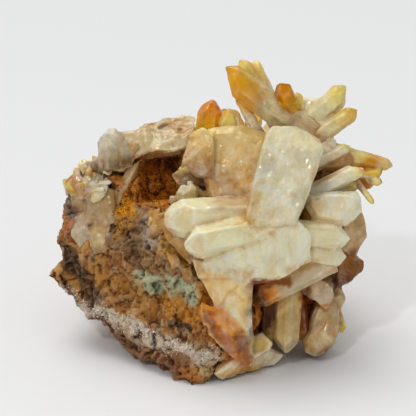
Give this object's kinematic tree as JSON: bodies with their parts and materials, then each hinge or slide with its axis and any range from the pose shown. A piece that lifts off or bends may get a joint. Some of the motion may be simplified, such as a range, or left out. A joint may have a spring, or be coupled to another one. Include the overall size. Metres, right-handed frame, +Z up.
{
  "type": "mango quartz specimen",
  "caption": "Rough mango quartz specimen: milky quartz crystals, some with orange tips, grown from a rugged brown host rock that rests on a small flat spot.",
  "frame": {"origin": "on the resting surface, under the middle of the whole specimen's box", "axes": "+Z up, +X to the right of the display side, -Y towards the viewer of the display side"},
  "size_m": [0.1057, 0.0786, 0.0852],
  "materials": {
    "host_rock": "rough, iron-stained brown with white and grey-green crust",
    "rind_quartz": "wavy, waxy grey-white quartz",
    "milky_quartz": "translucent milky crystal faces",
    "mango_quartz": "clear to cream crystal with an orange zone at the tip",
    "clear_quartz": "clear, glossy crystal faces",
    "stained_quartz": "brown-stained translucent crystal faces"
  },
  "bodies": {
    "root": {"host_rock": "host_rock", "quartz_rind": "rind_quartz", "front_crystals": "milky_quartz", "upright_mango_point": "mango_quartz", "crown_crystals": "mango_quartz", "right_spray": "clear_quartz", "needle_crystal": "clear_quartz", "right_face_crystals": "milky_quartz", "foot_crystals": "stained_quartz", "hollow_crystals": "stained_quartz", "back_crystals": "milky_quartz"}
  },
  "joints": []
}
